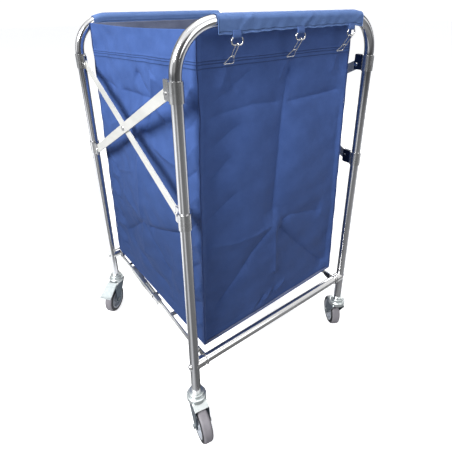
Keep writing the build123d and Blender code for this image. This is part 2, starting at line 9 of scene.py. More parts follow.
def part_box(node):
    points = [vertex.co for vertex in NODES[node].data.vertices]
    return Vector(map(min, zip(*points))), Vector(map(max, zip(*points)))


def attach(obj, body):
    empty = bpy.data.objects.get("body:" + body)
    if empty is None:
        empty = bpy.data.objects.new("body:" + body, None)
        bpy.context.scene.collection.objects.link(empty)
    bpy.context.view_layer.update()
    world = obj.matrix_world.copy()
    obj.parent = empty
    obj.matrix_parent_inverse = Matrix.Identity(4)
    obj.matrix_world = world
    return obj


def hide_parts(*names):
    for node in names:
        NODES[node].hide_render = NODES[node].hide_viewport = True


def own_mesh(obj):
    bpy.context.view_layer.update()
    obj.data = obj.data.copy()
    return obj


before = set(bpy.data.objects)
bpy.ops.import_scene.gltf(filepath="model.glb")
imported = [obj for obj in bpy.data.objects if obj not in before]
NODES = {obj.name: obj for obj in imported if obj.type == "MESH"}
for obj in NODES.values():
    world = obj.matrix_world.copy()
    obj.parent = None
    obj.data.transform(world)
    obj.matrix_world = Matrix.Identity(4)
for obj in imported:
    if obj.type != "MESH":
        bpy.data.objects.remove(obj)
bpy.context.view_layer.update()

# ---------------------------------------------------------------- node helpers

WHITE = (1, 1, 1, 1)


class Nodes:
    """A short way to write the shader nodes of a material or a world."""

    def __init__(self, tree):
        self.tree = tree
        self.tree.nodes.clear()

    def join(self, a, b):
        self.tree.links.new(a, b)

    def put(self, socket, value):
        """Joins another node's output to the socket, or sets the socket to a plain value."""
        if hasattr(value, "node"):
            self.join(value, socket)
        else:
            socket.default_value = value

    def coords(self, kind="Object"):
        return self.tree.nodes.new("ShaderNodeTexCoord").outputs[kind]

    def ray_kind(self, kind):
        """One for the rays of a kind, such as those seen directly, and zero for the others."""
        return self.tree.nodes.new("ShaderNodeLightPath").outputs[kind]

    def scaled(self, vector, scale):
        node = self.tree.nodes.new("ShaderNodeMapping")
        self.join(vector, node.inputs["Vector"])
        node.inputs["Scale"].default_value = scale
        return node.outputs[0]

    def split(self, vector):
        node = self.tree.nodes.new("ShaderNodeSeparateXYZ")
        self.join(vector, node.inputs[0])
        return node.outputs

    def math(self, op, a, b=0.0, c=0.0):
        node = self.tree.nodes.new("ShaderNodeMath")
        node.operation = op
        for socket, value in zip(node.inputs, (a, b, c)):
            self.put(socket, value)
        return node.outputs[0]

    def noise(self, vector, scale, detail, rough):
        node = self.tree.nodes.new("ShaderNodeTexNoise")
        self.join(vector, node.inputs["Vector"])
        node.inputs["Scale"].default_value = scale
        node.inputs["Detail"].default_value = detail
        node.inputs["Roughness"].default_value = rough
        return node.outputs["Fac"]

    def spread(self, value, low, high, out_low=0.0, out_high=1.0, smooth=False):
        """Maps low and high to out_low and out_high, and holds the value there beyond them."""
        node = self.tree.nodes.new("ShaderNodeMapRange")
        if smooth:
            node.interpolation_type = "SMOOTHSTEP"
        for key, v in (
            ("Value", value),
            ("From Min", low),
            ("From Max", high),
            ("To Min", out_low),
            ("To Max", out_high),
        ):
            self.put(node.inputs[key], v)
        return node.outputs[0]

    def mix(self, factor, a, b, blend="MIX"):
        node = self.tree.nodes.new("ShaderNodeMix")
        node.data_type = "RGBA"
        node.blend_type = blend
        self.put(node.inputs[0], factor)
        self.put(node.inputs[6], a)
        self.put(node.inputs[7], b)
        return node.outputs[2]

    def multiply(self, a, b):
        return self.mix(1.0, a, b, "MULTIPLY")

    def bump(self, height, strength, distance, under=None):
        node = self.tree.nodes.new("ShaderNodeBump")
        node.inputs["Strength"].default_value = strength
        node.inputs["Distance"].default_value = distance
        self.join(height, node.inputs["Height"])
        if under is not None:
            self.join(under, node.inputs["Normal"])
        return node.outputs[0]


class Look(Nodes):
    """A material with one Principled shader."""

    def __init__(self, name):
        self.mat = bpy.data.materials.new(name)
        self.mat.use_nodes = True
        super().__init__(self.mat.node_tree)
        out = self.tree.nodes.new("ShaderNodeOutputMaterial")
        self.shader = self.tree.nodes.new("ShaderNodeBsdfPrincipled")
        self.join(self.shader.outputs[0], out.inputs["Surface"])

    def set(self, **values):
        """Sets the shader's sockets by name, with an underscore for each space."""
        for key, value in values.items():
            self.put(self.shader.inputs[key.replace("_", " ")], value)


def rgb(r, g, b):
    """A screen colour, 0 to 255, as linear light."""
    line = []
    for v in (r, g, b):
        v /= 255
        line.append(v / 12.92 if v <= 0.04045 else ((v + 0.055) / 1.055) ** 2.4)
    return (*line, 1.0)


def toned(colour, by):
    """A colour made darker or lighter."""
    return (*(by * c for c in colour[:3]), 1.0)


# ---------------------------------------------------------------- metals and mouldings

CHEEK_TOP = (0.1125, 0.1135)  # height: the forks' cheeks end here, under the roof plate; the painted dark reflection stays below it
LEG_INSIDE = (0.2825, 0.2845)  # X: the brackets' plates behind the bag end here, at the legs; the painted shade stays inside this
BEHIND_BAG = (0.05, 0.15)  # Y: the brackets on the rear legs lie beyond this, and there get the painted shade


def metal(name, dark, light, rough, streak, grain, bump=0.15, along=(1, 1, 1), metallic=1.0):
    """Bare metal: long polishing streaks, a fine grain and faint smudges."""
    g = Look(name)
    where = g.coords()
    long = g.noise(g.scaled(where, along), streak, detail=4, rough=0.6)
    fine = g.noise(where, grain, detail=3, rough=0.7)
    smudge = g.noise(where, 9.0, detail=4, rough=0.6)
    relief = g.math("ADD", long, g.math("MULTIPLY", fine, 0.4))
    smudged = g.spread(smudge, 0.35, 0.7, rough * 0.8, rough * 1.35)
    g.set(
        Base_Color=g.mix(g.spread(long, 0.3, 0.7), dark, light),
        Metallic=metallic,
        Roughness=g.math("ADD", smudged, g.spread(fine, 0.4, 0.7, 0.0, 0.04)),
        Normal=g.bump(relief, bump, distance=0.0004),
    )
    return g.mat


def painted(name, base, worn, rough, grain, coat=0.0):
    """A moulded or painted surface with a fine grain and lighter, duller wear."""
    g = Look(name)
    where = g.coords()
    fine = g.noise(where, grain, detail=3, rough=0.6)
    large = g.noise(where, 14.0, detail=4, rough=0.6)
    g.set(
        Base_Color=g.mix(g.spread(large, 0.45, 0.75, 0.0, 0.5), base, worn),
        Roughness=g.spread(large, 0.3, 0.7, rough * 0.85, rough * 1.2),
        Coat_Weight=coat,
        Normal=g.bump(fine, strength=0.25, distance=0.0005),
    )
    return g.mat


def shaded_zinc(name, bare, shade, rough):
    """Zinc plate, bright on top; on its upright faces below the roof plate a painted reflection in
    dark slate stands for the dark surroundings the zinc mirrors.
    """
    g = Look(name)
    where = g.coords()
    grain = g.noise(where, 1100, detail=3, rough=0.7)
    patch = g.noise(where, 70, detail=4, rough=0.6)
    _, _, up = g.split(g.coords("Normal"))
    _, _, height = g.split(where)
    low = g.spread(height, *CHEEK_TOP, 1.0, 0.0)
    upright = g.spread(g.math("ABSOLUTE", up), 0.25, 0.5, 1.0, 0.0)
    bright = g.mix(g.spread(patch, 0.3, 0.7), bare, toned(bare, 0.82))
    # painted reflection: the upright cheek faces below the roof plate are painted dark slate
    dull = g.mix(g.spread(patch, 0.3, 0.7), shade, toned(shade, 0.7))
    g.set(
        Base_Color=g.mix(g.math("MULTIPLY", low, upright), bright, dull),
        Metallic=0.85,
        Roughness=g.spread(patch, 0.3, 0.7, rough * 0.85, rough * 1.2),
        Normal=g.bump(grain, strength=0.25, distance=0.0003),
    )
    return g.mat


def tyre(name, tread, wall_colour, axle):
    """A grey tread between two black side walls, which face along the axle."""
    g = Look(name)
    where = g.coords()
    fine = g.noise(where, 1400, detail=3, rough=0.6)
    large = g.noise(where, 40, detail=4, rough=0.6)
    nx, ny, _ = g.split(g.coords("Normal"))
    along = g.math("ADD", g.math("MULTIPLY", nx, axle[0]), g.math("MULTIPLY", ny, axle[1]))
    side_face = g.spread(g.math("ABSOLUTE", along), 0.72, 0.84)
    rolled = g.mix(g.spread(large, 0.4, 0.75), tread, toned(tread, 1.25))
    g.set(
        Base_Color=g.mix(side_face, rolled, wall_colour),
        Roughness=g.spread(large, 0.3, 0.7, 0.45, 0.62),
        Normal=g.bump(fine, strength=0.25, distance=0.0004),
    )
    return g.mat


def bracket_metal(name, near, far):
    """Pressed steel; on the plates behind the bag, inside the legs, a painted shade makes it near
    black.
    """
    g = Look(name)
    where = g.coords()
    fine = g.noise(where, 900, detail=3, rough=0.7)
    patch = g.noise(where, 80, detail=4, rough=0.6)
    out, depth, _ = g.split(where)
    # painted shade: the plates behind the bag, inside the legs, take the far colour
    behind = g.spread(depth, *BEHIND_BAG)
    inside = g.spread(g.math("ABSOLUTE", out), *LEG_INSIDE, 1.0, 0.0)
    light = g.mix(g.spread(patch, 0.3, 0.7), near, toned(near, 0.8))
    g.set(
        Base_Color=g.mix(g.math("MULTIPLY", behind, inside), light, far),
        Metallic=1.0,
        Roughness=g.spread(patch, 0.3, 0.7, 0.18, 0.30),
        Normal=g.bump(fine, strength=0.15, distance=0.0004),
    )
    return g.mat


STEEL = metal(
    "polished_stainless", (0.66, 0.66, 0.68, 1), (0.84, 0.84, 0.85, 1),
    rough=0.12, streak=60, grain=900, bump=0.12, along=(1, 1, 0.04),
)
BAR_STEEL = metal(
    "polished_stainless_cross", (0.66, 0.66, 0.67, 1), (0.84, 0.83, 0.81, 1),
    rough=0.12, streak=60, grain=900, bump=0.12, along=(1, 0.04, 1),
)
STRIP = metal(
    "satin_strip", (0.60, 0.60, 0.57, 1), (0.70, 0.70, 0.67, 1),
    rough=0.5, streak=90, grain=1200, bump=0.2, along=(0.05, 1, 0.3), metallic=0.3,
)
LINK = metal(
    "satin_link", (0.58, 0.58, 0.57, 1), (0.76, 0.76, 0.74, 1),
    rough=0.35, streak=90, grain=1200, bump=0.2, along=(0.05, 1, 0.3),
)
BRACKET = bracket_metal("bracket_steel", (0.74, 0.74, 0.74, 1), (0.10, 0.11, 0.14, 1))
ROD = metal(
    "satin_rod", (0.50, 0.50, 0.52, 1), (0.66, 0.66, 0.68, 1),
    rough=0.30, streak=120, grain=900, bump=0.2, along=(1, 0.05, 1),
)
BOLT = metal(
    "bolt_steel", (0.66, 0.66, 0.66, 1), (0.80, 0.80, 0.80, 1),
    rough=0.22, streak=200, grain=1500,
)
ZINC = metal(
    "zinc_plate", (0.62, 0.66, 0.66, 1), (0.80, 0.83, 0.82, 1),
    rough=0.30, streak=70, grain=1100, bump=0.3,
)
FORK = shaded_zinc("fork_zinc_painted_reflection", (0.70, 0.74, 0.74, 1), (0.13, 0.17, 0.21, 1), rough=0.32)
PEDAL = metal(
    "pedal_zinc", (0.50, 0.55, 0.56, 1), (0.64, 0.69, 0.69, 1),
    rough=0.38, streak=70, grain=1100, bump=0.3, metallic=0.6,
)
WIRE = metal(
    "nickel_wire", (0.72, 0.71, 0.68, 1), (0.84, 0.83, 0.80, 1),
    rough=0.18, streak=150, grain=1500,
)
# the thin rod is steel; its near-black colour is a painted shade
ROD_PAINTED_SHADE = painted("thin_rod_painted_shade", rgb(30, 31, 34), rgb(60, 60, 64), rough=0.45, grain=900)
HUB = painted("grey_hub", rgb(192, 197, 204), rgb(208, 212, 218), rough=0.42, grain=900, coat=0.15)

# the casters' headings in degrees, as in the CAD; each axle lies across its heading
HEADINGS = {"a_front": 350, "a_rear": 148, "b_front": 310, "b_rear": 135}
TYRES = []
for corner, heading in HEADINGS.items():
    across = (-math.sin(math.radians(heading)), math.cos(math.radians(heading)))
    look = tyre(f"tyre_{corner}", rgb(126, 123, 128), rgb(26, 27, 31), across)
    TYRES.append((f"caster_tread_{corner}", look))

# a node takes the finish of the first of these that its name starts with
FINISH = (
    ("arch_tube", STEEL),
    ("lower_bar_bolts", BOLT),
    ("lower_bar", BAR_STEEL),
    ("upper_brackets", BRACKET),
    ("sliding_bracket", BRACKET),
    ("upper_rivets", BOLT),
    ("scissor_mid_rivet", BOLT),
    ("link_mid_rivets", BOLT),
    ("link_brackets", BRACKET),
    ("scissor_bar", STRIP),
    ("link_arms", LINK),
    ("link_channels", LINK),
    ("cross_tube", ROD),
    ("thin_rod", ROD_PAINTED_SHADE),
    ("caster_stems", ZINC),
    ("caster_fork", FORK),
    ("brake_pedal", PEDAL),
    ("caster_hub", HUB),
    ("hook_rings", WIRE),
    ("snap_hooks", WIRE),
    *TYRES,
)
for node_name, node in NODES.items():
    for start, material in FINISH:
        if node_name.startswith(start):
            node.data.materials.clear()
            node.data.materials.append(material)
            break

# ---------------------------------------------------------------- cloth materials

TURN = 6.2832  # one wave of a sine, in radians
STITCHES = 300.0  # stitches along a metre of seam
THREAD_EDGE = (0.0006, 0.0014)  # a row of stitches fades out between these distances from its line
FOOT_SHADE_DEPTH = 0.62  # the painted shade of the lower bag is full this far below the band's seam
SEAM_LINES = (0.0055, 0.0, -0.0085)  # rows of stitches round the band's seam


def cloth(name, low, high, lines=(), rough=0.62, sheen=0.06, weave=1100.0, foot=1.0, shine=0.25):
    """Woven nylon. Its UV map is the flat cloth in metres.

    lines are the heights V of rows of stitches, weave the threads per metre, and foot how bright
    the painted shade leaves the cloth at the bag's foot.
    """
    g = Look(name)
    flat = g.coords("UV")
    u, v, _ = g.split(flat)
    warp = g.math("SINE", g.math("MULTIPLY", u, weave * TURN))
    weft = g.math("SINE", g.math("MULTIPLY", v, weave * TURN))
    threads = g.math("MULTIPLY", warp, weft)
    mottle = g.noise(flat, 26.0, detail=5, rough=0.65)
    speck = g.noise(flat, 430.0, detail=2, rough=0.8)
    colour = g.mix(g.spread(mottle, 0.3, 0.72), low, high)
    # painted shade: the cloth is darkened towards the bag's foot
    if foot != 1.0:
        fall = g.spread(v, -FOOT_SHADE_DEPTH, 0.0, smooth=True)
        colour = g.multiply(colour, g.mix(fall, toned(WHITE, foot), WHITE))
    light = g.math("ADD", g.spread(speck, 0.3, 0.7, -0.30, 0.30), g.math("MULTIPLY", threads, 0.05))
    colour = g.multiply(colour, g.mix(light, WHITE, toned(WHITE, 1.35)))
    relief = g.math("ADD", g.math("MULTIPLY", threads, 0.5), g.math("MULTIPLY", speck, 0.6))
    normal = g.bump(relief, strength=0.22, distance=0.0004)
    mask = None
    for height in lines:
        gap = g.math("ABSOLUTE", g.math("SUBTRACT", v, height))
        row = g.spread(gap, *THREAD_EDGE, 1.0, 0.0)
        dash = g.math("FRACT", g.math("MULTIPLY", u, STITCHES))
        dash = g.spread(g.math("ABSOLUTE", g.math("SUBTRACT", dash, 0.5)), 0.26, 0.36, 1.0, 0.35)
        row = g.math("MULTIPLY", row, dash)
        mask = row if mask is None else g.math("MAXIMUM", mask, row)
    if mask is not None:
        colour = g.mix(mask, colour, toned(low, 0.45))
        normal = g.bump(g.math("SUBTRACT", 1.0, mask), strength=0.6, distance=0.0012, under=normal)
    g.set(
        Base_Color=colour,
        Roughness=g.spread(mottle, 0.3, 0.7, rough - 0.06, rough + 0.08),
        Sheen_Weight=sheen,
        Sheen_Roughness=0.45,
        Sheen_Tint=(0.55, 0.65, 1.0, 1.0),
        Normal=normal,
        Specular_IOR_Level=shine,
    )
    return g.mat


BLUE_LOW = rgb(63, 90, 150)
BLUE_HIGH = rgb(73, 101, 164)
# the sides: the walls' nylon painted a little darker and greyer as painted shade, with a deeper
# painted shade at the foot
SIDE_SHADED_LOW = rgb(63, 88, 143)
SIDE_SHADED_HIGH = rgb(72, 98, 156)
# the flaps: the walls' nylon painted lighter and greyer, as painted light
FLAP_LIT_LOW = rgb(82, 109, 160)
FLAP_LIT_HIGH = rgb(93, 121, 172)

# the walls and sides carry a painted shade at the foot
NYLON = cloth("blue_nylon", BLUE_LOW, BLUE_HIGH, SEAM_LINES, foot=0.66)
NYLON_SIDE_SHADED = cloth(
    "blue_nylon_side_shaded", SIDE_SHADED_LOW, SIDE_SHADED_HIGH, SEAM_LINES, rough=0.7, sheen=0.02, foot=0.5, shine=0.08
)
NYLON_PLAIN = cloth("blue_nylon_plain", BLUE_LOW, BLUE_HIGH)
LINING = cloth("grey_lining", rgb(94, 101, 124), rgb(108, 115, 138), rough=0.5, sheen=0.1)
WEBBING = cloth(
    "webbing_blue", rgb(66, 92, 144), rgb(78, 104, 158), rough=0.7, sheen=0.15, weave=420.0
)
PIPING = cloth("piping_blue", rgb(40, 60, 108), rgb(50, 72, 122), rough=0.65, sheen=0.1)

# ---------------------------------------------------------------- shaping cloth


def lerp(a, b, t):
    return a + (b - a) * t


def smooth(t):
    t = np.clip(t, 0, 1)
    return t * t * (3 - 2 * t)


def waves(a, b, count, height, long, seed):
    """Soft random cloth ripple from a few broad waves."""
    rng = np.random.default_rng(seed)
    total = np.zeros_like(a)
    for _ in range(count):
        turn = rng.uniform(0, math.tau)
        size = rng.uniform(0.4, 1.0) * long
        phase = rng.uniform(0, math.tau)
        total += np.sin((a * math.cos(turn) + b * math.sin(turn)) * math.tau / size + phase)
    return total * height / math.sqrt(count)


def crease(a, b, start, end, height, width, fade):
    """A folded crease along a line: a sharp ridge whose two sides slope away."""
    (a0, b0), (a1, b1) = start, end
    length = math.hypot(a1 - a0, b1 - b0)
    ta, tb = (a1 - a0) / length, (b1 - b0) / length
    s = ((a - a0) * ta + (b - b0) * tb) / length
    d = -(a - a0) * tb + (b - b0) * ta
    tent = np.clip(1 - np.abs(d) / width, 0, 1) ** 1.35
    return height * tent * smooth(s / fade) * smooth((1 - s) / fade)


class Relief:
    """How far a panel stands out, in metres, as a sum of ripples, folds and dents.

    a and b are the places on the panel, across it and up it.
    """

    def __init__(self, a, b):
        self.a = a
        self.b = b
        self.height = np.zeros_like(a)

    def ripple(self, count, height, long, seed):
        self.height = self.height + waves(self.a, self.b, count, height, long, seed)

    def fold(self, points, height, wide, sharp, fade=0.12):
        """A pressed fold along a broken line: it slopes off over wide on its left and over
        sharp on its right, and fades at its ends."""
        a, b = self.a, self.b
        nearest = np.full(a.shape, np.inf)
        value = np.zeros_like(a)
        spans = list(zip(points[:-1], points[1:]))
        total = sum(math.dist(p, q) for p, q in spans)
        run = 0.0
        for (a0, b0), (a1, b1) in spans:
            length = math.dist((a0, b0), (a1, b1))
            t = np.clip(((a - a0) * (a1 - a0) + (b - b0) * (b1 - b0)) / length**2, 0, 1)
            away = np.hypot(a - a0 - t * (a1 - a0), b - b0 - t * (b1 - b0))
            turn = (a1 - a0) * (b - b0) - (b1 - b0) * (a - a0)
            s = (run + t * length) / total
            here = np.exp(-away / np.where(turn > 0, wide, sharp))
            here = here * smooth(s / fade) * smooth((1 - s) / fade)
            value = np.where(away < nearest, here, value)
            nearest = np.minimum(nearest, away)
            run += length
        self.height = self.height + height * value

    def star(self, centre, tips, wide, sharp):
        """Folds from one point outwards, each with its own tip and height."""
        for tip, height in tips:
            self.fold([centre, tip], height, wide, sharp)

    def dent(self, at, size, height):
        """A soft hollow or swelling, wider than it is deep."""
        r = ((self.a - at[0]) / size[0]) ** 2 + ((self.b - at[1]) / size[1]) ** 2
        self.height = self.height + height * np.exp(-r)


def sew(obj_name, grid, flat, outer, inner, thick=0.0012, flip=False):
    """Makes one panel of cloth: grid is (rows, columns, 3) in metres, flat its UV in metres."""
    rows, cols, _ = grid.shape
    verts = grid.reshape(-1, 3)
    at = np.arange(rows * cols).reshape(rows, cols)
    quads = np.stack([at[:-1, :-1], at[:-1, 1:], at[1:, 1:], at[1:, :-1]], -1).reshape(-1, 4)
    if flip:
        quads = quads[:, ::-1]
    mesh = bpy.data.meshes.new(obj_name)
    mesh.from_pydata(verts.tolist(), [], quads.tolist())
    layer = mesh.uv_layers.new(name="flat_cloth")
    uv = flat.reshape(-1, 2)
    layer.data.foreach_set("uv", uv[quads.reshape(-1)].astype(np.float32).reshape(-1))
    mesh.polygons.foreach_set("use_smooth", np.ones(len(quads), bool))
    mesh.materials.append(outer)
    mesh.materials.append(inner)
    mesh.update()
    obj = bpy.data.objects.new(obj_name, mesh)
    bpy.context.scene.collection.objects.link(obj)
    solid = obj.modifiers.new("thickness", "SOLIDIFY")
    solid.thickness = thick
    solid.offset = -1.0
    solid.material_offset = 1
    solid.material_offset_rim = 0
    return obj


def tube_path(name, points, radius, material):
    """A round bead along a line."""
    curve = bpy.data.curves.new(name, "CURVE")
    curve.dimensions = "3D"
    curve.bevel_depth = radius
    curve.bevel_resolution = 3
    spline = curve.splines.new("POLY")
    spline.points.add(len(points) - 1)
    for point, p in zip(spline.points, points):
        point.co = (*[float(c) for c in p], 1.0)
    curve.materials.append(material)
    drawn = bpy.data.objects.new(name, curve)
    bpy.context.scene.collection.objects.link(drawn)
    bpy.context.view_layer.update()
    mesh = bpy.data.meshes.new_from_object(drawn)
    bpy.data.objects.remove(drawn)
    bead = bpy.data.objects.new(name, mesh)
    bpy.context.scene.collection.objects.link(bead)
    mesh.polygons.foreach_set("use_smooth", np.ones(len(mesh.polygons), bool))
    return bead


# ---------------------------------------------------------------- the bag's outline

SIGNS = {"a": 1, "b": -1}  # arch a stands at +X
WAYS = {"front": -1, "rear": 1}  # the front side faces -Y
HALF_X = 0.2825
HALF_Y = 0.25
Z_TOP = 1.062
Z_BAND = 0.995
Z_BOTTOM = 0.262
X_LIMIT = 0.2868  # a wall stays inside this, clear of the flap and the bar
WALL_FOLD_GAIN = 1.9
WALL_FOLD_LIMIT = 0.0090
WALL_SINK = 0.0060
SIDE_FOLD_GAIN = 1.7
D_RINGS_Y = (-0.163, 0.014, 0.190)

# how far out a wall's upright edges stand at the top and at the foot
CORNERS = {
    ("a", -1): (-0.2365, -0.2515),
    ("a", 1): (0.2295, 0.2500),
    ("b", -1): (-0.2580, -0.2700),
    ("b", 1): (0.2380, 0.2560),
}


def corner_y(z, arch, way):
    """The bag's corner: how far out it stands at a height."""
    top, low = CORNERS[arch, way]
    y = lerp(top, low, (Z_TOP - z) / (Z_TOP - Z_BOTTOM))
    if (arch, way) == ("a", -1):
        # the near edge is drawn in where the fold across the wall meets it
        y = y + 0.004 * np.exp(-(((z - 0.885) / 0.05) ** 2))
    return y


def floor_z(x, y):
    """Height of the bag's lower edge: it is held a little higher at the far right corner."""
    s = (x + HALF_X) / (2 * HALF_X)
    t = (y + HALF_Y) / (2 * HALF_Y)
    return 0.257 + 0.004 * s + 0.020 * s * np.clip(t, 0, 1) ** 1.2


def seam_ridge(flat_v):
    """The raised hem of the band: doubled cloth between its two rows of stitches."""
    return 0.0011 * smooth((flat_v + 0.0115) / 0.002) * smooth((0.0095 - flat_v) / 0.002)


def wall_relief(y, z, sign):
    """How far a wall stands out along X, from its folds and sag, in metres."""
    r = Relief(y, z)
    r.ripple(5, 0.0016, 0.50, seed=3 if sign > 0 else 13)
    r.ripple(6, 0.0007, 0.15, seed=4 if sign > 0 else 14)
    # the storage folds: one down the middle
    middle = [(-0.006, 0.548), (-0.001, 0.680), (0.007, 0.762), (0.014, 0.852), (0.032, 0.985)]
    r.fold(middle, -0.0075, wide=0.050, sharp=0.020, fade=0.10)
    # one across, in two stretches
    left = [(-0.22, 0.880), (-0.171, 0.885), (-0.083, 0.893), (0.015, 0.883)]
    r.fold(left, -0.0034, wide=0.022, sharp=0.009)
    r.fold([(0.022, 0.882), (0.153, 0.886), (0.222, 0.889)], -0.0038, wide=0.016, sharp=0.008)
    # and the folded foot below, which meets in a point
    left = [(-0.233, 0.567), (-0.146, 0.541), (-0.071, 0.538), (-0.008, 0.546)]
    r.fold(left, 0.0036, wide=0.010, sharp=0.024)
    down_left = [(-0.012, 0.543), (-0.087, 0.480), (-0.139, 0.422), (-0.215, 0.343)]
    r.fold(down_left, -0.0036, wide=0.010, sharp=0.030)
    r.fold([(-0.006, 0.545), (-0.001, 0.450), (0.003, 0.368)], 0.0044, wide=0.009, sharp=0.012)
    down_right = [(0.004, 0.538), (0.090, 0.446), (0.175, 0.358), (0.238, 0.300)]
    r.fold(down_right, -0.0052, wide=0.014, sharp=0.022, fade=0.08)
    r.fold([(0.010, 0.540), (0.059, 0.550), (0.191, 0.520)], -0.0036, wide=0.030, sharp=0.014)
    r.dent((-0.006, 0.540), (0.012, 0.012), 0.0030)
    # soft slanting hollows by the near corner
    for start, end in (
        ((-0.070, 0.985), (-0.225, 0.895)),
        ((-0.110, 0.860), (-0.232, 0.795)),
        ((-0.135, 0.790), (-0.235, 0.710)),
        ((-0.120, 0.690), (-0.240, 0.620)),
    ):
        r.fold([start, end], -0.0034, wide=0.030, sharp=0.024, fade=0.3)
    # broad swellings between the folds
    r.dent((-0.10, 0.69), (0.08, 0.16), 0.0045)
    r.dent((0.085, 0.70), (0.05, 0.12), 0.0050)
    r.dent((0.12, 0.94), (0.08, 0.04), 0.0030)
    # the pull of each hook
    for hook in D_RINGS_Y:
        r.dent((hook, 0.995), (0.014, 0.012), 0.0030)
        r.fold([(hook, 0.992), (hook - 0.02, 0.93)], 0.0026, wide=0.016, sharp=0.014, fade=0.3)
        r.fold([(hook, 0.992), (hook + 0.03, 0.92)], -0.0022, wide=0.016, sharp=0.014, fade=0.3)
    # puckers where the cloth gathers along the bottom
    for i in range(5):
        y0 = -0.095 + 0.026 * i
        line = [(y0, 0.278 + 0.005 * i), (y0 + 0.045 - 0.006 * (i % 2), 0.318 + 0.004 * i)]
        height = (0.0016 + 0.0005 * (i % 3)) * (-1) ** i
        r.fold(line, height, wide=0.010, sharp=0.006, fade=0.35)
    edge = smooth((z - Z_BOTTOM) / 0.02) * smooth((Z_TOP - z) / 0.03)
    return r.height * edge


def side_relief(x, z, sign):
    """How far a side stands out along Y, away from the bag's middle."""
    r = Relief(x, z)
    r.ripple(5, 0.0022, 0.45, seed=5 if sign < 0 else 15)
    r.ripple(7, 0.0010, 0.13, seed=6 if sign < 0 else 16)
    r.dent((0.0, 0.62), (0.14, 0.20), 0.0060)
    # folds round a knot near the top, and two that carry on from it
    knot_tips = (
        ((-0.003, 0.955), -0.0050),
        ((0.108, 0.956), 0.0044),
        ((-0.11, 0.889), -0.0044),
        ((-0.054, 0.826), 0.0050),
        ((0.040, 0.800), -0.0046),
        ((0.205, 0.902), -0.0056),
        ((0.170, 0.840), 0.0040),
    )
    r.star((0.073, 0.894), knot_tips, wide=0.018, sharp=0.010)
    r.fold([(-0.11, 0.889), (-0.275, 0.905)], -0.0040, wide=0.020, sharp=0.012, fade=0.2)
    r.fold([(-0.054, 0.826), (-0.22, 0.760)], 0.0040, wide=0.026, sharp=0.014, fade=0.2)
    # folds round the folded foot
    foot_tips = (
        ((-0.007, 0.724), 0.0050),
        ((-0.191, 0.385), -0.0050),
        ((-0.025, 0.380), 0.0044),
        ((0.120, 0.380), -0.0046),
        ((-0.170, 0.560), 0.0036),
    )
    r.star((-0.018, 0.508), foot_tips, wide=0.022, sharp=0.010)
    right = [(0.010, 0.500), (0.10, 0.528), (0.21, 0.566)]
    r.fold(right, -0.0075, wide=0.010, sharp=0.030, fade=0.1)
    # long slanting folds between the two
    r.fold([(0.04, 0.70), (0.23, 0.62)], -0.0046, wide=0.026, sharp=0.016, fade=0.2)
    r.fold([(-0.05, 0.66), (-0.24, 0.60)], 0.0040, wide=0.024, sharp=0.014, fade=0.2)
    r.fold([(0.06, 0.78), (0.24, 0.74)], 0.0050, wide=0.026, sharp=0.014, fade=0.2)
    low = [(-0.19, 0.385), (-0.03, 0.345), (0.14, 0.31)]
    r.fold(low, -0.0040, wide=0.022, sharp=0.012, fade=0.2)
    # small wrinkles near the far edge and by the near corner
    for i in range(12):
        x0 = -0.272 + 0.006 * (i % 3)
        z0 = 0.66 - 0.031 * i
        line = [(x0, z0), (x0 + 0.070 + 0.012 * (i % 2), z0 - 0.040 + 0.014 * (i % 3))]
        r.fold(line, 0.0036 * (-1) ** i, wide=0.010, sharp=0.006, fade=0.3)
    for i in range(11):
        z0 = 0.96 - 0.062 * i
        line = [(0.279, z0), (0.222 - 0.012 * (i % 2), z0 - 0.052 - 0.01 * (i % 3))]
        r.fold(line, 0.0042 * (-1) ** i, wide=0.016, sharp=0.009, fade=0.3)
    edge = smooth((z - Z_BOTTOM) / 0.03) * smooth((Z_TOP - z) / 0.03)
    return r.height * (edge * smooth((HALF_X - np.abs(x)) / 0.012))


# ---------------------------------------------------------------- the bag's panels


def shares(rows, cols):
    """Shares 0 to 1 down the rows and along the columns of a panel."""
    return np.linspace(0, 1, rows)[:, None], np.linspace(0, 1, cols)[None, :]


def wall(arch):
    sign = SIGNS[arch]
    shape = (340, 210)
    v, u = shares(*shape)
    level = np.broadcast_to(lerp(Z_BOTTOM, Z_TOP, v), shape)
    y = lerp(corner_y(level, arch, -1), corner_y(level, arch, 1), u)
    z = lerp(floor_z(sign * HALF_X, y), Z_TOP, v)
    near_edge = smooth(np.minimum(u, 1 - u) / 0.03)
    relief = WALL_FOLD_GAIN * wall_relief(y, z, sign) * near_edge
    held = WALL_FOLD_LIMIT * np.tanh(relief / WALL_FOLD_LIMIT)
    relief = np.where(relief > 0, held, relief) - WALL_SINK * near_edge
    relief = relief + seam_ridge(z - Z_BAND)
    # the rim is drawn up between the flap and the bar
    tuck = smooth((z - 1.03) / 0.025) * 0.0022
    x = sign * np.minimum(HALF_X + relief + tuck, X_LIMIT)
    grid = np.stack([x, y, z], -1)
    flat = np.stack([y, z - Z_BAND], -1)
    obj = sew(f"bag_wall_cloth_{arch}", grid, flat, NYLON, LINING, flip=sign < 0)
    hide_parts(f"bag_wall_{arch}")
    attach(obj, f"frame_{arch}")


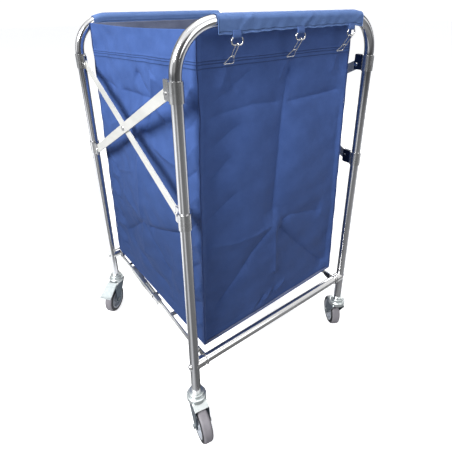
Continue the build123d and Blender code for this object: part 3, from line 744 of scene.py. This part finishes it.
def side(name):
    sign = WAYS[name]
    shape = (340, 240)
    v, u = shares(*shape)
    x = np.broadcast_to(lerp(-HALF_X, HALF_X, u), shape)
    # the rim sags in the middle
    rim = Z_TOP - 0.0045 * np.sin(math.pi * u) ** 1.2
    z = lerp(floor_z(x, HALF_Y * sign), np.broadcast_to(rim, shape), v)
    y = lerp(corner_y(z, "b", sign), corner_y(z, "a", sign), u)
    # the band seam drops towards arch b
    drop = 0.018 * (1 - u) ** 1.3 if name == "front" else 0.010 * (1 - u)
    relief = SIDE_FOLD_GAIN * side_relief(x, z, sign) + seam_ridge(z - Z_BAND + drop)
    grid = np.stack([x, y + sign * relief, z], -1)
    flat = np.stack([x, z - Z_BAND + drop], -1)
    obj = sew(f"bag_side_cloth_{name}", grid, flat, NYLON_SIDE_SHADED, LINING, flip=sign > 0)
    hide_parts(f"bag_side_{name}")
    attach(obj, "frame_b")


def bottom():
    shape = (90, 90)
    v, u = shares(*shape)
    x = np.broadcast_to(lerp(-HALF_X, HALF_X, u), shape)
    y0 = lerp(corner_y(Z_BOTTOM, "b", -1), corner_y(Z_BOTTOM, "a", -1), u)
    y1 = lerp(corner_y(Z_BOTTOM, "b", 1), corner_y(Z_BOTTOM, "a", 1), u)
    y = lerp(y0, y1, v)
    inner = smooth(np.minimum(u, 1 - u) / 0.2) * smooth(np.minimum(v, 1 - v) / 0.2)
    z = floor_z(x, y) + inner * (waves(x, y, 7, 0.0016, 0.2, seed=21) - 0.004)
    grid = np.stack([x, y, z], -1)
    flat = np.stack([x, y - 2.0], -1)  # a stretch of cloth of its own, away from the sides'
    obj = sew("bag_bottom_cloth", grid, flat, NYLON_PLAIN, LINING, flip=True)
    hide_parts("bag_bottom")
    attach(obj, "frame_b")


# ---------------------------------------------------------------- flaps over the top bars

BAR_X = 0.300
BAR_Z = 1.076
FLAP_RADIUS = 0.0142  # of the flap's middle line round the bar
INNER_HEM_Z = 1.062
OUTER_HEM_Z = 1.0515
FLAP_REACH = 0.3151  # the CAD flap ends here
FLAP_TOP = 1.0915
FLAP_ENDS = {"a": (-0.2060, 0.2320), "b": (-0.2430, 0.2180)}
TABS_Y = (-0.164, 0.012, 0.188)
BEND_START = 0.199  # the top bar runs straight to here
BEND_RADIUS = 0.097


def bend_drop(y):
    """How far the top bar's line has fallen at a place along it."""
    over = np.clip(np.abs(y) - BEND_START, 0, BEND_RADIUS - 0.0001)
    return BEND_RADIUS - np.sqrt(BEND_RADIUS**2 - over**2)


def flap_outline():
    """The flap's cross-section about the bar: up from inside the bag, over, and down outside."""
    legs, turn = 26, 40
    points = []
    for t in np.arange(legs) / legs:
        points.append((-FLAP_RADIUS, lerp(INNER_HEM_Z - BAR_Z, 0.0, t)))
    for a in math.pi * np.arange(turn) / turn:
        points.append((-FLAP_RADIUS * math.cos(a), FLAP_RADIUS * math.sin(a)))
    for t in np.arange(legs) / (legs - 1):
        points.append((FLAP_RADIUS, lerp(0.0, OUTER_HEM_Z - BAR_Z, t)))
    steps = [math.dist(p, q) for p, q in zip(points[:-1], points[1:])]
    return np.array(points), np.concatenate([[0.0], np.cumsum(steps)])


def flap(arch):
    """The cloth over a top bar, from the hem inside the bag to the one outside."""
    sign = SIGNS[arch]
    y0, y1 = FLAP_ENDS[arch]
    outline, along = flap_outline()
    total = float(along[-1])
    px, pz = outline[:, :1], outline[:, 1:]
    s = along[:, None]
    columns = 220
    y = np.broadcast_to(np.linspace(y0, y1, columns)[None, :], (len(along), columns))
    hang = smooth((s - (total - 0.030)) / 0.030)
    ripple = 0.0003 * np.sin(y * 75 + 3 * np.sin(y * 21)) + 0.0003 * np.sin(y * 193 + s * 130)
    lean = np.zeros_like(y)
    for tab_y in TABS_Y:
        for way in (-1, 1):
            end = (tab_y + way * 0.055, total * 0.45)
            lean += crease(y, s, (tab_y, total), end, height=0.0011, width=0.010, fade=0.3)
    out = 1.0 + (ripple * (0.3 + hang) + lean) / FLAP_RADIUS
    wave = 0.0006 * np.sin((y - y0) * 17.0 + 1.0) * hang
    hem_rise = np.interp(y, [y0, -0.003, y1], [0.0, 0.0040, 0.0025]) * hang
    x = np.clip(sign * (BAR_X + px * out), -FLAP_REACH, FLAP_REACH)
    z = np.minimum(BAR_Z + pz * out + wave + hem_rise - bend_drop(y) * 0.8, FLAP_TOP)
    grid = np.stack([x, y, z], -1)
    flat = np.stack([y, s + 0 * y], -1)
    hems = (total - 0.0045, 0.0035)
    stitched = cloth(f"blue_nylon_flap_{arch}", FLAP_LIT_LOW, FLAP_LIT_HIGH, hems)
    obj = sew(
        f"bag_flap_cloth_{arch}", grid, flat, stitched, LINING, thick=0.0011, flip=sign > 0
    )
    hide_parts(f"bag_flap_{arch}")
    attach(obj, f"frame_{arch}")
    # a folded edge at each end and along the hem, with its own thickness
    for name, col in (("front", 0), ("rear", -1)):
        edge = tube_path(f"flap_edge_{arch}_{name}", grid[::3, col, :], 0.0009, stitched)
        edge.parent = obj
    hem = tube_path(f"flap_hem_{arch}", grid[-1, ::4, :], 0.0010, stitched)
    hem.parent = obj


# ---------------------------------------------------------------- piping and webbing

PIPING_RADIUS = 0.0014


def corner_piping(arch, name):
    """Piping down one upright corner of the bag, a little wavy."""
    sign, way = SIGNS[arch], WAYS[name]
    low = float(floor_z(sign * HALF_X, HALF_Y * way))
    pts = []
    for z in np.linspace(Z_TOP, low, 120):
        wobble = 0.0006 * math.sin(z * 90) + 0.0005 * math.sin(z * 37 + 1)
        y = float(corner_y(z, arch, way)) + way * (0.0006 + wobble)
        pts.append((sign * (HALF_X + 0.0008), y, z))
    bead = tube_path(f"corner_piping_{arch}_{name}", pts, PIPING_RADIUS, PIPING)
    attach(bead, f"frame_{arch}")


def side_piping(name):
    """Piping along the foot of a side."""
    way = WAYS[name]
    pts = []
    for u in np.linspace(0, 1, 60):
        x = lerp(-HALF_X, HALF_X, u)
        y = lerp(corner_y(Z_BOTTOM, "b", way), corner_y(Z_BOTTOM, "a", way), u)
        pts.append((x, y, floor_z(x, HALF_Y * way)))
    bead = tube_path(f"bottom_piping_{name}", pts, PIPING_RADIUS, PIPING)
    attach(bead, "frame_b")


def wall_piping(arch):
    """Piping along the foot of a wall."""
    x = SIGNS[arch] * HALF_X
    ys = np.linspace(corner_y(Z_BOTTOM, arch, -1), corner_y(Z_BOTTOM, arch, 1), 60)
    pts = [(x, y, floor_z(x, y)) for y in ys]
    bead = tube_path(f"bottom_piping_{arch}", pts, PIPING_RADIUS, PIPING)
    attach(bead, f"frame_{arch}")


TAB_TOP_Z = 1.0585
TAB_TOP_X = 0.3166  # between the hem and the loop's outer leg
TAB_X = (0.3141, 0.3184)  # the loop's inner and outer legs


def tab(arch, index, y):
    """A loop of webbing sewn under the flap's hem, with the ring through it."""
    sign = SIGNS[arch]
    low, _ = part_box(f"webbing_tabs_{arch}")
    loop_z = float(low.z) - 0.0018
    x_in, x_out = TAB_X
    gap = (x_out - x_in) / 2
    half = 0.0105
    share = np.linspace(0, 1, 30)
    xs, zs = [], []
    for t in share:
        if t < 0.40:
            xs.append(lerp(TAB_TOP_X, x_out, smooth(t / 0.3)))
            zs.append(lerp(TAB_TOP_Z, loop_z, t / 0.40))
        elif t < 0.60:
            a = math.pi * (t - 0.40) / 0.20
            xs.append(x_in + gap + gap * math.cos(a))
            zs.append(loop_z - gap * math.sin(a))
        else:
            xs.append(x_in)
            zs.append(lerp(loop_z, TAB_TOP_Z, (t - 0.60) / 0.40))
    across = np.linspace(-half, half, 12)[None, :]
    x = sign * np.array(xs)[:, None]
    z = np.array(zs)[:, None]
    grid = np.stack(np.broadcast_arrays(x, y + across, z), -1)
    flat = np.stack(np.broadcast_arrays(across, (share * 0.032)[:, None]), -1)
    obj = sew(
        f"webbing_tab_{arch}_{index}", grid, flat, WEBBING, WEBBING, thick=0.0009, flip=sign > 0
    )
    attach(obj, f"frame_{arch}")
    return obj


for arch in SIGNS:
    wall(arch)
    flap(arch)
for name in WAYS:
    side(name)
bottom()
for arch in SIGNS:
    for name in WAYS:
        corner_piping(arch, name)
for name in WAYS:
    side_piping(name)
for arch in SIGNS:
    wall_piping(arch)
for arch in SIGNS:
    tabs = [tab(arch, i, y) for i, y in enumerate(TABS_Y)]
    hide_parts(f"webbing_tabs_{arch}")

# the sides and bottom are squashed as the frame folds; the walls ride on their arches
for name in ("bag_side_cloth_front", "bag_side_cloth_rear", "bag_bottom_cloth",
             "bottom_piping_front", "bottom_piping_rear"):
    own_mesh(bpy.data.objects[name])

# ---------------------------------------------------------------- stage

# brightness round the studio by compass angle in degrees; polished metal shows
# the dark and light sectors as streaks
SKY_SECTORS = (
    (-180, 0.55), (-160, 0.12), (-148, 0.10), (-136, 0.95), (-108, 1.0), (-92, 0.75),
    (-82, 0.12), (-48, 0.40), (-30, 0.10), (0, 0.08), (24, 0.10), (36, 0.9), (66, 0.95),
    (76, 0.15), (104, 0.10), (116, 0.7), (136, 0.8), (150, 0.10), (168, 0.14), (180, 0.55),
)
FLOOR_SECTORS = (
    (-180, 0.35), (-165, 0.12), (-152, 0.6), (-130, 0.9), (-104, 0.85), (-92, 0.30),
    (-72, 0.08), (-52, 0.42), (-36, 0.10), (8, 0.14), (24, 0.22), (40, 0.16), (56, 0.75),
    (78, 0.85), (90, 0.14), (112, 0.08), (126, 0.35), (146, 0.40), (158, 0.10), (180, 0.35),
)
FLOOR_HALF = 30.0
FLOOR_GLOW = 0.72  # seen directly, the floor is as white as the surroundings
WORLD_SEEN = (1.1, 1.1, 1.1, 1)
WORLD_SOFT = (0.26, 0.27, 0.29, 1)  # what the surroundings give to dull surfaces


def sectors(g, direction, stops):
    """Light and dark sectors round the upright axis."""
    x, y, _ = g.split(direction)
    turn = g.spread(g.math("ARCTAN2", y, x), -math.pi, math.pi)
    ramp = g.tree.nodes.new("ShaderNodeValToRGB")
    bar = ramp.color_ramp
    bar.elements[0].position = 0.0
    bar.elements[1].position = 1.0
    for angle, _ in stops[1:-1]:
        bar.elements.new((angle + 180) / 360)
    for element, (_, value) in zip(bar.elements, stops):
        element.color = (value, value * 1.01, value * 1.02, 1)
    g.join(turn, ramp.inputs[0])
    return ramp.outputs[0]


def floor_look():
    """White to the eye, dull to the cloth, and banded to polished metal."""
    g = Look("pale_floor")
    where = g.coords()
    mottle = g.noise(where, 1.5, detail=2, rough=0.5)
    pale = g.mix(mottle, (0.90, 0.90, 0.90, 1), (0.94, 0.94, 0.94, 1))
    dull = g.mix(g.ray_kind("Is Diffuse Ray"), pale, (0.30, 0.30, 0.31, 1))
    bands = sectors(g, where, FLOOR_SECTORS)
    g.set(
        Base_Color=g.mix(g.ray_kind("Is Glossy Ray"), dull, bands),
        Roughness=0.7,
        Specular_IOR_Level=0.1,
        Emission_Color=WHITE,
        Emission_Strength=g.math("MULTIPLY", g.ray_kind("Is Camera Ray"), FLOOR_GLOW),
    )
    return g.mat


floor_mesh = bpy.data.meshes.new("studio_floor")
corners = [(x * FLOOR_HALF, y * FLOOR_HALF, 0) for x, y in ((-1, -1), (1, -1), (1, 1), (-1, 1))]
floor_mesh.from_pydata(corners, [], [(0, 1, 2, 3)])
floor_mesh.materials.append(floor_look())
floor = bpy.data.objects.new("studio_floor", floor_mesh)
bpy.context.scene.collection.objects.link(floor)


def area(name, place, target, size_x, size_y, power):
    """A rectangular light at a place, turned to its target; sizes in metres, power in watts."""
    data = bpy.data.lights.new(name, "AREA")
    data.shape = "RECTANGLE"
    data.size = size_x
    data.size_y = size_y
    data.energy = power
    obj = bpy.data.objects.new(name, data)
    obj.location = place
    aim = Vector(target) - Vector(place)
    obj.rotation_euler = aim.to_track_quat("-Z", "Y").to_euler()
    bpy.context.scene.collection.objects.link(obj)


area("key", (0.9, -3.6, 3.3), (0, 0, 0.9), 1.7, 1.7, power=300)
area("fill", (3.6, 1.0, 2.2), (0, 0, 0.6), 2.0, 2.4, power=30)
area("over", (0.2, 0.2, 3.6), (0, 0, 0.5), 2.0, 2.0, power=40)
area("back", (-2.2, 3.0, 2.4), (0, 0, 0.6), 2.0, 2.0, power=30)

world = bpy.data.worlds.new("studio")
bpy.context.scene.world = world
world.use_nodes = True
g = Nodes(world.node_tree)
out = g.tree.nodes.new("ShaderNodeOutputWorld")
back = g.tree.nodes.new("ShaderNodeBackground")
g.join(back.outputs[0], out.inputs["Surface"])
sky = g.coords("Generated")
_, _, climb = g.split(sky)
dome = g.mix(g.spread(climb, 0.55, 0.75), sectors(g, sky, SKY_SECTORS), WHITE)
level = g.mix(g.ray_kind("Is Camera Ray"), WORLD_SOFT, WORLD_SEEN)
g.join(g.mix(g.ray_kind("Is Glossy Ray"), level, dome), back.inputs["Color"])
bpy.context.scene.view_settings.view_transform = "Standard"

# ---------------------------------------------------------------- camera

# fitted to the photograph: the picture's axes in the frame, and lengths in picture points
RIGHT = Vector((0.587321, 0.809218, -0.014874))
DOWN = Vector((0.307961, -0.240434, -0.920517))
FORWARD = Vector((-0.748475, 0.536058, -0.390419))
PLACE = Vector((0.919983, -0.628105, 1.099908))
FOCAL = 372.632
PICTURE = 452
CENTRE_Y = 165.0  # where the camera's axis meets the picture, from its top
SENSOR = 36.0

cam = bpy.data.cameras.new("camera")
cam.sensor_fit = "HORIZONTAL"
cam.sensor_width = SENSOR
cam.lens = FOCAL / PICTURE * SENSOR
cam.shift_y = (CENTRE_Y - PICTURE / 2) / PICTURE
cam.clip_start = 0.05
camera = bpy.data.objects.new("camera", cam)
turned = Matrix((RIGHT, -DOWN, -FORWARD)).transposed()
camera.matrix_world = Matrix.Translation(PLACE) @ turned.to_4x4()
bpy.context.scene.collection.objects.link(camera)
bpy.context.scene.camera = camera
